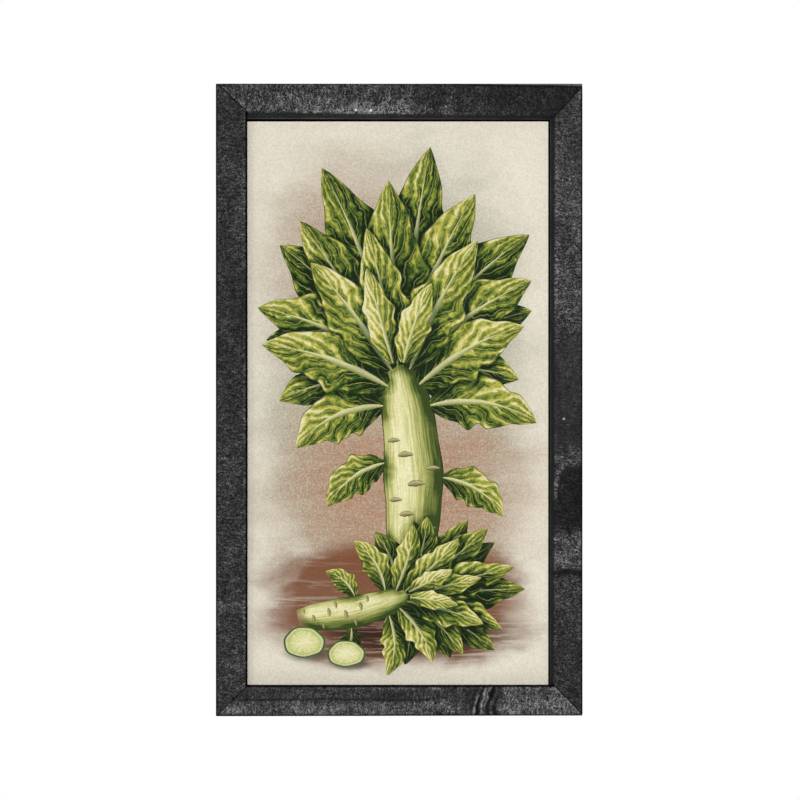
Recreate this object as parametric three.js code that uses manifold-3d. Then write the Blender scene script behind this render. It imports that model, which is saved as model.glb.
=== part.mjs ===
// A framed print: four mitred rails of rough-sawn timber stained black, a printed sheet on a
// black mount board, a hardboard back held by flexible points, and a sawtooth hanger.
// Millimetres, +Z up. The picture faces -Y and the wall is the plane y = 0. The origin is the
// point of the wall where the hanging nail goes in, under the middle notch of the hanger.

import * as THREE from "three";
import { mergeVertices } from "three/addons/utils/BufferGeometryUtils.js";
import Module from "manifold-3d";

// Driving dimensions of the frame
const FRAME_WIDTH = 380;
const FRAME_HEIGHT = 656;
const RAIL_FACE = 30; // width of a rail seen from the front
const RAIL_DEPTH = 22; // rough-sawn stock, front to back
const LIP_DEPTH = 12; // front of the rail to the ledge of the rebate
const REBATE_WIDTH = 8;
const ARRIS = 0.8; // small chamfer along both front edges
const MITRE_GAP = 0.3; // hairline between two rails at a corner
const TOUCH_GAP = 0.3; // clearance kept between pieces that bear on each other
const GLUE_GAP = 0.1; // clearance kept where a flat piece is stuck to another

// The stack of sheets in the rebate
const BOARD_CLEARANCE = 1; // between a board's edge and the wall of the rebate
const PRINT_REVEAL = 2.2; // the printed sheet is smaller than the opening by this on each side
const PRINT_THICKNESS = 0.2;
const PRINT_DROP = 4.3; // the sheet is stuck a little low and to the left on its board
const PRINT_ASIDE = -1.6;
const MOUNT_THICKNESS = 2;
const BACKING_THICKNESS = 3;

// Fasteners
const STEEL_THICKNESS = 0.6;
const POINT_WIDTH = 7;
const POINT_BURIED = 6; // length of a point inside the rail
const POINT_SHOWN = 10; // length of a point over the backing board
const POINT_TIP = 2.5; // length of the sharpened end
const POINTS_ON_LONG_RAIL = 3;
const POINTS_ON_SHORT_RAIL = 2;
const VNAIL_LEG = 5.5;
const VNAIL_HEIGHT = 8;
const VNAIL_SUNK = 0.3; // below the back of the rail
const VNAIL_PLACES = [6, 13.5]; // apex of each V, in from the two outer edges

// Sawtooth hanger and its nails
const HANGER_LENGTH = 56;
const HANGER_TAB = 9; // flat end that is nailed down
const HANGER_BEND = 3; // length of the slope between a tab and the raised middle
const HANGER_RAISE = 1.7; // gap for the wall nail behind the raised middle
const HANGER_THICKNESS = 0.8;
const HANGER_BODY = 7; // height of the strip above the notches
const TOOTH_PITCH = 3.2;
const TOOTH_DEPTH = 2;
const TOOTH_COUNT = 9; // notches, with one in the middle
const NOTCH_BELOW_TOP = 14; // from the top of the frame down to the notches
const NAIL_RADIUS = 0.7;
const NAIL_LENGTH = 10;
const NAIL_HEAD_RADIUS = 1.9;
const NAIL_HEAD_HEIGHT = 0.6;

// Wall bumpers
const BUMPER_RADIUS = 5.5;
const BUMPER_FACE_RADIUS = 4.2;
const BUMPER_THICKNESS = 3;
const BUMPER_INSET = 22; // from the side of the frame to the bumper's centre

// Planes worked out from the dimensions
const wallPlane = 0;
const railBack = wallPlane - BUMPER_THICKNESS;
const railFront = railBack - RAIL_DEPTH;
const ledge = railFront + LIP_DEPTH;
const frameTop = NOTCH_BELOW_TOP;
const frameCentre = frameTop - FRAME_HEIGHT / 2;
const rebateWall = RAIL_FACE - REBATE_WIDTH; // in from the outer edge of a rail
const sightWidth = FRAME_WIDTH - 2 * RAIL_FACE;
const sightHeight = FRAME_HEIGHT - 2 * RAIL_FACE;
const boardWidth = FRAME_WIDTH - 2 * rebateWall - 2 * BOARD_CLEARANCE;
const boardHeight = FRAME_HEIGHT - 2 * rebateWall - 2 * BOARD_CLEARANCE;
const printFront = ledge + GLUE_GAP;
const mountFront = printFront + PRINT_THICKNESS + GLUE_GAP;
const backingFront = mountFront + MOUNT_THICKNESS + TOUCH_GAP;
const pointFront = backingFront + BACKING_THICKNESS + TOUCH_GAP;

// Materials
const stainedWood = new THREE.MeshStandardMaterial({ color: 0x3d3d3d, roughness: 0.85, metalness: 0 });
const printPaper = new THREE.MeshStandardMaterial({ color: 0xded7c7, roughness: 0.7, metalness: 0 });
const blackBoard = new THREE.MeshStandardMaterial({ color: 0x101010, roughness: 0.9, metalness: 0 });
const hardboard = new THREE.MeshStandardMaterial({ color: 0x7a5638, roughness: 0.75, metalness: 0 });
const zincSteel = new THREE.MeshStandardMaterial({ color: 0xb4b6b3, roughness: 0.35, metalness: 1 });
const rubber = new THREE.MeshStandardMaterial({ color: 0x2a2725, roughness: 0.8, metalness: 0 });

// Solids: joining and cutting closed meshes
const wasm = await Module();
wasm.setup();

function toSolid(geometry) {
  const bare = geometry.clone();
  bare.deleteAttribute("normal");
  bare.deleteAttribute("uv");
  const merged = mergeVertices(bare, 1e-4);
  return new wasm.Manifold(
    new wasm.Mesh({
      numProp: 3,
      vertProperties: merged.attributes.position.array,
      triVerts: new Uint32Array(merged.index.array),
    }),
  );
}

function toGeometry(solid) {
  const mesh = solid.getMesh();
  const geometry = new THREE.BufferGeometry();
  geometry.setAttribute("position", new THREE.BufferAttribute(mesh.vertProperties, 3));
  geometry.setIndex(new THREE.BufferAttribute(mesh.triVerts, 1));
  geometry.computeVertexNormals();
  return geometry;
}

function cut(geometry, tools) {
  const result = tools.reduce((solid, tool) => solid.subtract(toSolid(tool)), toSolid(geometry));
  return toGeometry(result);
}

// Shapes: outlines extruded along one of the frame's own axes
function outline(points) {
  return new THREE.Shape(points.map(([x, y]) => new THREE.Vector2(x, y)));
}

const sectionToRail = new THREE.Matrix4().set(0, 0, 1, 0, 1, 0, 0, 0, 0, 1, 0, 0, 0, 0, 0, 1);
const planToFrame = new THREE.Matrix4().set(1, 0, 0, 0, 0, 0, -1, 0, 0, 1, 0, 0, 0, 0, 0, 1);

// A (y, z) section run along X, centred on x = 0
function alongX(section, length) {
  const geometry = new THREE.ExtrudeGeometry(section, { depth: length, bevelEnabled: false });
  return geometry.translate(0, 0, -length / 2).applyMatrix4(sectionToRail);
}

// An (x, z) outline given thickness along Y, from yFront towards the wall
function throughY(shape, thickness, yFront) {
  const geometry = new THREE.ExtrudeGeometry(shape, { depth: thickness, bevelEnabled: false });
  return geometry.applyMatrix4(planToFrame).translate(0, yFront + thickness, 0);
}

// A radius and height profile turned about Y, with its heights running towards the wall
function turnedAboutY(profile, sides) {
  const points = profile.map(([radius, height]) => new THREE.Vector2(radius, height));
  return new THREE.LatheGeometry(points, sides);
}

// Rails. Each is made as a top rail, with its outer edge on z = 0, and turned into place.
const railSection = outline([
  [railFront + ARRIS, -RAIL_FACE],
  [ledge, -RAIL_FACE],
  [ledge, -rebateWall],
  [railBack, -rebateWall],
  [railBack, 0],
  [railFront + ARRIS, 0],
  [railFront, -ARRIS],
  [railFront, ARRIS - RAIL_FACE],
]);

function mitredRail(length) {
  const geometry = alongX(railSection, length);
  const position = geometry.getAttribute("position");
  const setBack = (MITRE_GAP / 2) * Math.SQRT2;
  for (let i = 0; i < position.count; i += 1) {
    const end = Math.sign(position.getX(i));
    const inwards = -position.getZ(i);
    position.setX(i, end * (length / 2 - inwards - setBack));
  }
  return geometry;
}

function pointPlaces(length, count) {
  const spacing = length / count;
  return Array.from({ length: count }, (_, i) => (i - (count - 1) / 2) * spacing);
}

function pointSlot(along) {
  const slot = new THREE.BoxGeometry(
    POINT_WIDTH + 2 * TOUCH_GAP,
    STEEL_THICKNESS + 2 * TOUCH_GAP,
    2 * (POINT_BURIED + TOUCH_GAP),
  );
  return slot.translate(along, pointFront + STEEL_THICKNESS / 2, -rebateWall);
}

// An L seen from the back, with its apex on the mitre and one leg along each rail
function vnailShape(grow) {
  const half = STEEL_THICKNESS / 2 + grow;
  const reach = VNAIL_LEG + grow;
  return outline([
    [-half, half],
    [-half, -reach],
    [half, -reach],
    [half, -half],
    [reach, -half],
    [reach, half],
  ]);
}

function vnailGeometry(grow) {
  const height = VNAIL_HEIGHT + (grow > 0 ? VNAIL_SUNK + 2 * grow : 0);
  const front = railBack - VNAIL_SUNK - VNAIL_HEIGHT - grow;
  return throughY(vnailShape(grow), height, front);
}

function vnailSlots(length) {
  return VNAIL_PLACES.flatMap((inwards) => {
    const left = vnailGeometry(TOUCH_GAP);
    const right = vnailGeometry(TOUCH_GAP).rotateY(Math.PI / 2);
    return [
      left.translate(inwards - length / 2, 0, -inwards),
      right.translate(length / 2 - inwards, 0, -inwards),
    ];
  });
}

const hangerNailX = HANGER_LENGTH / 2 - HANGER_TAB / 2;
const hangerNailZ = HANGER_BODY / 2;

function nailHoles() {
  return [-1, 1].map((side) => {
    const hole = new THREE.CylinderGeometry(
      NAIL_RADIUS + TOUCH_GAP,
      NAIL_RADIUS + TOUCH_GAP,
      2 * (NAIL_LENGTH + TOUCH_GAP),
      12,
    );
    return hole.translate(side * hangerNailX, railBack, hangerNailZ - frameTop);
  });
}

function railGeometry(length, pointCount, extraCuts) {
  const slots = pointPlaces(length - 2 * RAIL_FACE, pointCount).map(pointSlot);
  return cut(mitredRail(length), [...slots, ...vnailSlots(length), ...extraCuts]);
}

// Framing points: tapered where they are driven in, rounded where they hold the board
function pointGeometry() {
  const half = POINT_WIDTH / 2;
  const shape = new THREE.Shape();
  shape.moveTo(half, 0);
  shape.lineTo(half, POINT_BURIED - POINT_TIP);
  shape.lineTo(half / 3, POINT_BURIED);
  shape.lineTo(-half / 3, POINT_BURIED);
  shape.lineTo(-half, POINT_BURIED - POINT_TIP);
  shape.lineTo(-half, half - POINT_SHOWN);
  shape.absarc(0, half - POINT_SHOWN, half, Math.PI, 2 * Math.PI, false);
  return throughY(shape, STEEL_THICKNESS, pointFront);
}

// Sawtooth hanger: a strip bent down at both ends, with notches cut in its lower edge
const hangerBack = railBack + GLUE_GAP;

function hangerGeometry() {
  const end = HANGER_LENGTH / 2;
  const bendOuter = end - HANGER_TAB;
  const bendInner = bendOuter - HANGER_BEND;
  const low = hangerBack;
  const high = hangerBack + HANGER_RAISE;
  const thick = HANGER_THICKNESS;
  const strip = outline([
    [-end, low],
    [-bendOuter, low],
    [-bendInner, high],
    [bendInner, high],
    [bendOuter, low],
    [end, low],
    [end, low + thick],
    [bendOuter, low + thick],
    [bendInner, high + thick],
    [-bendInner, high + thick],
    [-bendOuter, low + thick],
    [-end, low + thick],
  ]);
  const height = HANGER_BODY + TOOTH_DEPTH;
  const bar = new THREE.ExtrudeGeometry(strip, { depth: height, bevelEnabled: false });
  bar.translate(0, 0, -TOOTH_DEPTH);
  return cut(bar, [...notches(), ...tabTrims(), ...tabHoles()]);
}

function notches() {
  return pointPlaces(TOOTH_COUNT * TOOTH_PITCH, TOOTH_COUNT).map((x) => {
    const below = 2 * TOOTH_DEPTH;
    const halfWidth = (TOOTH_PITCH / 2) * (below / TOOTH_DEPTH);
    const notch = outline([
      [x, 0],
      [x - halfWidth, -below],
      [x + halfWidth, -below],
    ]);
    return throughY(notch, 2 * BUMPER_THICKNESS, railBack);
  });
}

// The tabs and bends end level with the notches: only the middle has teeth
function tabTrims() {
  const inner = (TOOTH_COUNT * TOOTH_PITCH) / 2;
  const width = HANGER_LENGTH / 2 - inner + 1;
  return [-1, 1].map((side) => {
    const trim = new THREE.BoxGeometry(width, 2 * BUMPER_THICKNESS, 2 * TOOTH_DEPTH);
    return trim.translate(side * (inner + width / 2), railBack, -TOOTH_DEPTH);
  });
}

function tabHoles() {
  const radius = NAIL_RADIUS + TOUCH_GAP;
  return [-1, 1].map((side) => {
    const hole = new THREE.CylinderGeometry(radius, radius, 2 * BUMPER_THICKNESS, 12);
    return hole.translate(side * hangerNailX, railBack, hangerNailZ);
  });
}

// Hanger nails: a pointed shank and a flat head, turned about Y with the head at the wall side
function nailGeometry() {
  const headUnder = hangerBack + HANGER_THICKNESS + GLUE_GAP;
  const tip = headUnder - NAIL_LENGTH;
  return turnedAboutY(
    [
      [0, tip],
      [NAIL_RADIUS, tip + 2 * NAIL_RADIUS],
      [NAIL_RADIUS, headUnder],
      [NAIL_HEAD_RADIUS, headUnder],
      [NAIL_HEAD_RADIUS, headUnder + NAIL_HEAD_HEIGHT / 2],
      [NAIL_HEAD_RADIUS - NAIL_HEAD_HEIGHT / 2, headUnder + NAIL_HEAD_HEIGHT],
      [0, headUnder + NAIL_HEAD_HEIGHT],
    ],
    12,
  );
}

// Wall bumpers: short discs with a rounded rim and a flat face on the wall
function bumperGeometry() {
  const rim = (BUMPER_RADIUS - BUMPER_FACE_RADIUS) / 2;
  return turnedAboutY(
    [
      [0, railBack + GLUE_GAP],
      [BUMPER_RADIUS, railBack + GLUE_GAP],
      [BUMPER_RADIUS, wallPlane - 2 * rim],
      [BUMPER_RADIUS - rim * 0.6, wallPlane - rim * 0.6],
      [BUMPER_FACE_RADIUS, wallPlane],
      [0, wallPlane],
    ],
    24,
  );
}

function sheetGeometry(width, height, thickness, front) {
  const sheet = new THREE.BoxGeometry(width, thickness, height);
  return sheet.translate(0, front + thickness / 2, 0);
}

// Assembly
const framedPrint = new THREE.Group();
const centred = new THREE.Group(); // everything that is set out from the middle of the picture
centred.position.z = frameCentre;
framedPrint.add(centred);

function addPiece(parent, name, geometry, material) {
  const mesh = new THREE.Mesh(geometry, material);
  mesh.name = name;
  parent.add(mesh);
  return mesh;
}

// Clockwise from the top, seen from the front
const sides = [
  { name: "top", turn: 0, length: FRAME_WIDTH, reach: FRAME_HEIGHT / 2, points: POINTS_ON_SHORT_RAIL },
  { name: "right", turn: 1, length: FRAME_HEIGHT, reach: FRAME_WIDTH / 2, points: POINTS_ON_LONG_RAIL },
  { name: "bottom", turn: 2, length: FRAME_WIDTH, reach: FRAME_HEIGHT / 2, points: POINTS_ON_SHORT_RAIL },
  { name: "left", turn: 3, length: FRAME_HEIGHT, reach: FRAME_WIDTH / 2, points: POINTS_ON_LONG_RAIL },
];

for (const side of sides) {
  const turned = new THREE.Group();
  turned.rotation.y = (side.turn * Math.PI) / 2;
  centred.add(turned);
  const extraCuts = side.name === "top" ? nailHoles() : [];
  const rail = railGeometry(side.length, side.points, extraCuts);
  addPiece(turned, `rail_${side.name}`, rail, stainedWood).position.z = side.reach;
  pointPlaces(side.length - 2 * RAIL_FACE, side.points).forEach((along, i) => {
    const point = addPiece(turned, `point_${side.name}_${i + 1}`, pointGeometry(), zincSteel);
    point.position.set(along, 0, side.reach - rebateWall);
  });
}

const corners = [
  { name: "top_left", turn: 0, x: -1, z: 1 },
  { name: "top_right", turn: 1, x: 1, z: 1 },
  { name: "bottom_right", turn: 2, x: 1, z: -1 },
  { name: "bottom_left", turn: 3, x: -1, z: -1 },
];

for (const corner of corners) {
  VNAIL_PLACES.forEach((inwards, i) => {
    const vnail = addPiece(centred, `vnail_${corner.name}_${i + 1}`, vnailGeometry(0), zincSteel);
    vnail.rotation.y = (corner.turn * Math.PI) / 2;
    vnail.position.x = corner.x * (FRAME_WIDTH / 2 - inwards);
    vnail.position.z = corner.z * (FRAME_HEIGHT / 2 - inwards);
  });
}

const printWidth = sightWidth - 2 * PRINT_REVEAL;
const printHeight = sightHeight - 2 * PRINT_REVEAL;
const printSheet = sheetGeometry(printWidth, printHeight, PRINT_THICKNESS, printFront);
const mountBoard = sheetGeometry(boardWidth, boardHeight, MOUNT_THICKNESS, mountFront);
const backingBoard = sheetGeometry(boardWidth, boardHeight, BACKING_THICKNESS, backingFront);
addPiece(centred, "print_sheet", printSheet, printPaper).position.set(PRINT_ASIDE, 0, -PRINT_DROP);
addPiece(centred, "mount_board", mountBoard, blackBoard);
addPiece(centred, "backing_board", backingBoard, hardboard);

addPiece(framedPrint, "hanger", hangerGeometry(), zincSteel);
for (const [name, side] of [["left", -1], ["right", 1]]) {
  const nail = addPiece(framedPrint, `hanger_nail_${name}`, nailGeometry(), zincSteel);
  nail.position.set(side * hangerNailX, 0, hangerNailZ);
  const bumper = addPiece(centred, `bumper_${name}`, bumperGeometry(), rubber);
  bumper.position.x = side * (FRAME_WIDTH / 2 - BUMPER_INSET);
  bumper.position.z = rebateWall / 2 - FRAME_HEIGHT / 2;
}

export default framedPrint;
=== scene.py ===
import math

import bmesh
import bpy
import numpy as np
from mathutils import Matrix, Vector
from mathutils.geometry import delaunay_2d_cdt


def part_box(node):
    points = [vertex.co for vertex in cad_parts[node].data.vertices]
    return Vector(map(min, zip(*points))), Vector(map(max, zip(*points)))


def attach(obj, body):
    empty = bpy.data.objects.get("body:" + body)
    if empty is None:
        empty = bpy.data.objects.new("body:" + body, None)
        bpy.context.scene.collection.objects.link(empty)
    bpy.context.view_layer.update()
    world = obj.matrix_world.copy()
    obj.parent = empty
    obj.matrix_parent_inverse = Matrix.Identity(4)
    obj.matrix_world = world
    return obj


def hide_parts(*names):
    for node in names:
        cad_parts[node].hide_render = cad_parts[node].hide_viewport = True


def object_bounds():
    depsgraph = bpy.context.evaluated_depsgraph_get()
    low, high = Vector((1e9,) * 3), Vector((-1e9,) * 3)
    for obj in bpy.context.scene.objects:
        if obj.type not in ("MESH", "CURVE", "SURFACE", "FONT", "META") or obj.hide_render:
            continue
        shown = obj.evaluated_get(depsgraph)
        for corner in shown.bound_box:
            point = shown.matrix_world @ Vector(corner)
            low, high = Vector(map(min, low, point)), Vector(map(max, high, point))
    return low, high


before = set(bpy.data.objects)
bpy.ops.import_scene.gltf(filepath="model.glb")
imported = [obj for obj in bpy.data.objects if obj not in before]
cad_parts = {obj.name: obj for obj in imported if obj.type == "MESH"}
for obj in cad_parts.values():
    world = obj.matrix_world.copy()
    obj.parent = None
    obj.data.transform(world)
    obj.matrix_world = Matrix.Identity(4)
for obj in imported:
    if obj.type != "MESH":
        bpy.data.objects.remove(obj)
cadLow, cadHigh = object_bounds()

mm = 0.001

# where the CAD puts the faces that everything below is set out from
railLow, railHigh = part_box("rail_top")
frontY, backY = railLow.y, railHigh.y
frameWidth = cadHigh.x - cadLow.x
frameHeight = cadHigh.z - cadLow.z
centreZ = (cadHigh.z + cadLow.z) / 2
railFace = railHigh.z - railLow.z
sheetLow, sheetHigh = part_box("print_sheet")
sheetMid = (sheetLow + sheetHigh) / 2
print("frame loaded:", len(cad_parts), "nodes")


def mode(name):
    bpy.ops.object.mode_set(mode=name)


def onlySelect(piece):
    if bpy.context.object and bpy.context.object.mode != "OBJECT":
        mode("OBJECT")
    bpy.ops.object.select_all(action="DESELECT")
    piece.select_set(True)
    bpy.context.view_layer.objects.active = piece


def pick(piece, kind, test):  # in edit mode, selects the faces or edges that pass a test
    bpy.ops.mesh.select_mode(type=kind)
    bpy.ops.mesh.select_all(action="DESELECT")
    work = bmesh.from_edit_mesh(piece.data)
    for item in work.faces if kind == "FACE" else work.edges:
        if test(item):
            item.select_set(True)
    bmesh.update_edit_mesh(piece.data)


def pull(*by):  # extrudes what is picked
    bpy.ops.mesh.extrude_region_move(TRANSFORM_OT_translate={"value": by})


def cutLoop(point, normal):  # a loop of edges round the whole piece
    bpy.ops.mesh.select_all(action="SELECT")
    bpy.ops.mesh.bisect(plane_co=point, plane_no=normal, threshold=1e-6)


def startCylinder(sides, radius, depth):  # about the origin, in edit mode
    bpy.ops.object.select_all(action="DESELECT")
    bpy.ops.mesh.primitive_cylinder_add(vertices=sides, radius=radius, depth=depth)
    mode("EDIT")
    return bpy.context.object


def wear(piece, *materials):
    piece.data.materials.clear()
    for material in materials:
        piece.data.materials.append(material)


def keep(piece, name, slot, *nodes):  # names a finished piece and ties it to the CAD
    piece.name = name
    piece.data.name = name
    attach(piece, "root")
    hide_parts(*nodes)


def settle(piece, name, slot, node, material, angle=35):  # smooths and dresses a finished piece, and keeps it
    onlySelect(piece)
    bpy.ops.object.shade_smooth_by_angle(angle=math.radians(angle))
    wear(piece, material)
    keep(piece, name, slot, node)


def read(items, what, kind=np.int32, wide=1):  # one value of every item, or a row of them
    values = np.empty(len(items) * wide, kind)
    items.foreach_get(what, values)
    return values.reshape(-1, wide) if wide > 1 else values


def addAttribute(mesh, name, domain, values):
    attribute = mesh.attributes.new(name, "FLOAT", domain)
    attribute.data.foreach_set("value", values.astype(np.float32))


# smooth noise between -1 and 1, the same on every run
def softNoise(x, y, seed):
    def corner(i, j):
        value = np.sin(i * 127.1 + j * 311.7 + seed * 74.7) * 43758.5453
        return 2 * (value - np.floor(value)) - 1
    i, j = np.floor(x), np.floor(y)
    fx, fy = x - i, y - j
    fx, fy = fx * fx * (3 - 2 * fx), fy * fy * (3 - 2 * fy)
    low = corner(i, j) * (1 - fx) + corner(i + 1, j) * fx
    high = corner(i, j + 1) * (1 - fx) + corner(i + 1, j + 1) * fx
    return low * (1 - fy) + high * fy


def hump(value, centre, wide):  # 1 at the centre, fading to both sides
    return np.exp(-((value - centre) / wide) ** 2)


def within(value, reach, soft):  # 1 well inside reach, fading to 0 there
    return np.clip((reach - value) / soft, 0, 1)


def band(value, start, end, soft):  # 1 between start and end, fading over soft
    rise = np.clip((value - start) / soft + 0.5, 0, 1)
    fall = np.clip((end - value) / soft + 0.5, 0, 1)
    both = np.minimum(rise, fall)
    return both * both * (3 - 2 * both)


# material boards: short names for the nodes that the finishes are wired from
class Flow:  # what comes out of a node; a sum with it adds a node
    def __init__(self, board, socket):
        self.board, self.socket = board, socket

    def sums(self, how, *others):
        node = self.board.add("Math")
        node.operation = how
        return self.board.fill(node, self, *others)

    def __add__(self, other):
        return self.sums("ADD", other)

    def __sub__(self, other):
        return self.sums("SUBTRACT", other)

    def __mul__(self, other):
        return self.sums("MULTIPLY", other)

    def __truediv__(self, other):
        return self.sums("DIVIDE", other)

    def __pow__(self, other):
        return self.sums("POWER", other)

    def __abs__(self):
        return self.sums("ABSOLUTE")

    def step(self, start, end, low=0.0, high=1.0):
        node = self.board.add("MapRange")
        node.interpolation_type = "SMOOTHSTEP"
        return self.board.fill(node, self, start, end, low, high)

    def noise(self, scale, detail=2.0, rough=0.5, bend=0.0):
        place = self
        if hasattr(scale, "__len__"):  # a scale for each axis
            place, scale = self.board.flow("Mapping", 0, Vector=self, Scale=scale), 1
        return self.board.flow("TexNoise", "Fac", Vector=place, Scale=scale, Detail=detail, Roughness=rough,
                               Distortion=bend)

    def split(self):
        return [Flow(self.board, socket) for socket in self.board.add("SeparateXYZ", Vector=self).outputs]

    def ramp(self, *stops):
        node = self.board.add("ValToRGB")
        marks = node.color_ramp.elements
        while len(marks) < len(stops):
            marks.new(0.5)
        for mark, (place, colour) in zip(marks, stops):
            mark.position = place
            mark.color = (*colour, 1) if hasattr(colour, "__len__") else (colour, colour, colour, 1)
        return self.board.fill(node, self)


class Board:
    def __init__(self, name):
        self.material = bpy.data.materials.new(name)
        self.material.use_nodes = True
        self.tree = self.material.node_tree
        self.shader = self.tree.nodes["Principled BSDF"]

    def put(self, socket, value):
        if isinstance(value, Flow):
            self.tree.links.new(value.socket, socket)
        elif hasattr(socket.default_value, "__len__") and len(socket.default_value) == 4:
            socket.default_value = (*value[:3], 1)
        else:
            socket.default_value = value

    def fill(self, node, *values):  # fills the inputs in their order and gives the first output
        for socket, value in zip(node.inputs, values):
            self.put(socket, value)
        return Flow(self, node.outputs[0])

    def add(self, kind, **inputs):
        node = self.tree.nodes.new("ShaderNode" + kind)
        for key, value in inputs.items():
            self.put(node.inputs[key], value)
        return node

    def flow(self, kind, output, **inputs):
        return Flow(self, self.add(kind, **inputs).outputs[output])

    def objectPlace(self):
        return self.flow("TexCoord", "Object")

    def attribute(self, name, output="Fac"):
        node = self.add("Attribute")
        node.attribute_name = name
        return Flow(self, node.outputs[output])

    def leafMap(self):
        node = self.add("UVMap")
        node.uv_map = "leafMap"
        return Flow(self, node.outputs["UV"]).split()[:2]

    def join(self, x, y, z):
        return self.flow("CombineXYZ", 0, X=x, Y=y, Z=z)

    def mix(self, share, first, second, how="MIX"):
        node = self.add("Mix")
        node.data_type = "RGBA"
        node.blend_type = how
        for index, value in ((0, share), (6, first), (7, second)):  # the inputs of a mix of colours
            self.put(node.inputs[index], value)
        return Flow(self, node.outputs[2])

    def finish(self, colour, rough, height=None, strength=0.3, distance=0.0002, metal=0.0, shine=0.5):
        self.put(self.shader.inputs["Base Color"], colour)
        self.put(self.shader.inputs["Roughness"], rough)
        self.shader.inputs["Metallic"].default_value = metal
        self.shader.inputs["Specular IOR Level"].default_value = shine
        if height is not None:
            bump = self.flow("Bump", 0, Strength=strength, Distance=distance, Height=height)
            self.put(self.shader.inputs["Normal"], bump)
        return self.material


# camera: square on to the middle of the picture
view = {
    "distance": 1200 * mm,  # from the front of the frame
    "pixelsPerMetre": 963.7,  # on the front of the frame
    "image": 800,
    "sensor": 36,
    "centre": (399.2, 399.7),  # where the middle of the frame falls
}


def setCamera():
    data = bpy.data.cameras.new("camera")
    data.sensor_width = view["sensor"]
    data.lens = view["pixelsPerMetre"] * view["distance"] / view["image"] * view["sensor"]
    data.shift_x = 0.5 - view["centre"][0] / view["image"]
    data.shift_y = view["centre"][1] / view["image"] - 0.5
    camera = bpy.data.objects.new("camera", data)
    camera.location = (0, frontY - view["distance"], centreZ)
    camera.rotation_euler = (math.radians(90), 0, 0)
    bpy.context.scene.collection.objects.link(camera)
    bpy.context.scene.camera = camera


# light: a white surround, soft lights over and beside the camera, and weaker ones for the back and the sides
surround = 0.24
lamps = {
    "front": {"at": (0.1, -2.4, 0.2), "size": 0.5, "watts": 27},
    "key": {"at": (0.8, -1.9, 0.35), "size": 0.8, "watts": 11},
    "fill": {"at": (-0.85, -1.7, 0.15), "size": 0.8, "watts": 4.5},
    "rear": {"at": (-0.7, 1.5, 0.6), "size": 1.0, "watts": 18},
    "right": {"at": (1.7, 0.35, 0.3), "size": 0.8, "watts": 7},
    "left": {"at": (-1.7, 0.35, 0.3), "size": 0.8, "watts": 7},
}


def setLight():
    scene = bpy.context.scene
    scene.view_settings.view_transform = "Standard"
    world = bpy.data.worlds.new("surround")
    world.use_nodes = True
    tree = world.node_tree
    ground = tree.nodes["Background"]
    ground.inputs["Color"].default_value = (1, 1, 1, 1)
    path = tree.nodes.new("ShaderNodeLightPath")
    level = tree.nodes.new("ShaderNodeMapRange")  # plain white behind the frame, dimmer as a light
    level.inputs["To Min"].default_value = surround
    level.inputs["To Max"].default_value = 1.0
    tree.links.new(path.outputs["Is Camera Ray"], level.inputs["Value"])
    tree.links.new(level.outputs[0], ground.inputs["Strength"])
    scene.world = world
    for name, given in lamps.items():
        data = bpy.data.lights.new(name, "AREA")
        data.shape = "DISK"
        data.size = given["size"]
        data.energy = given["watts"]
        lamp = bpy.data.objects.new(name, data)
        lamp.location = given["at"]
        lamp.location.z += centreZ
        aim = Vector((0, frontY, centreZ)) - lamp.location
        lamp.rotation_euler = aim.to_track_quat("-Z", "Y").to_euler()
        scene.collection.objects.link(lamp)


floor = {"below": 0.42, "radius": 0.85, "thick": 0.02, "sides": 128}


def setFloor():
    piece = startCylinder(floor["sides"], floor["radius"], floor["thick"])
    mode("OBJECT")
    piece.data.transform(Matrix.Translation((0, 0, cadLow.z - floor["below"] - floor["thick"] / 2)))
    piece.name = "floor"
    board = Board("paleFloor")
    tone = board.objectPlace().noise(9, 3)
    wear(piece, board.finish(tone.ramp((0.3, 0.86), (0.7, 0.9)), 0.9, shine=0.2))


setCamera()
setLight()
setFloor()
print("camera, light and floor set")


# rails: sawn timber with a mitre at each end and a rebate behind, shaped as a top rail
# and then turned into place. u runs along the rail, w inwards from its outer edge, both in mm.
rail = {
    "lip": 12 * mm,  # front of the rail to the ledge of the rebate
    "rebate": 8 * mm,
    "arris": 0.8 * mm,
    "mitreGap": 0.04 * mm,
    "faceLoops": 1.0 * mm,  # spacing of the loops across the front
    "sideLoops": 2.0 * mm,
    "alongLoops": 1.0 * mm,
    "wave": 0.16,  # heights of the sawn surface, in mm
    "saw": 0.07,
    "sawPitch": 3.1,
    "fuzz": 0.24,
    "mitreSink": 0.35,
    "sideRelief": 0.6,  # shares of the heights that the sides and the back have
    "backRelief": 0.15,
}

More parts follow.
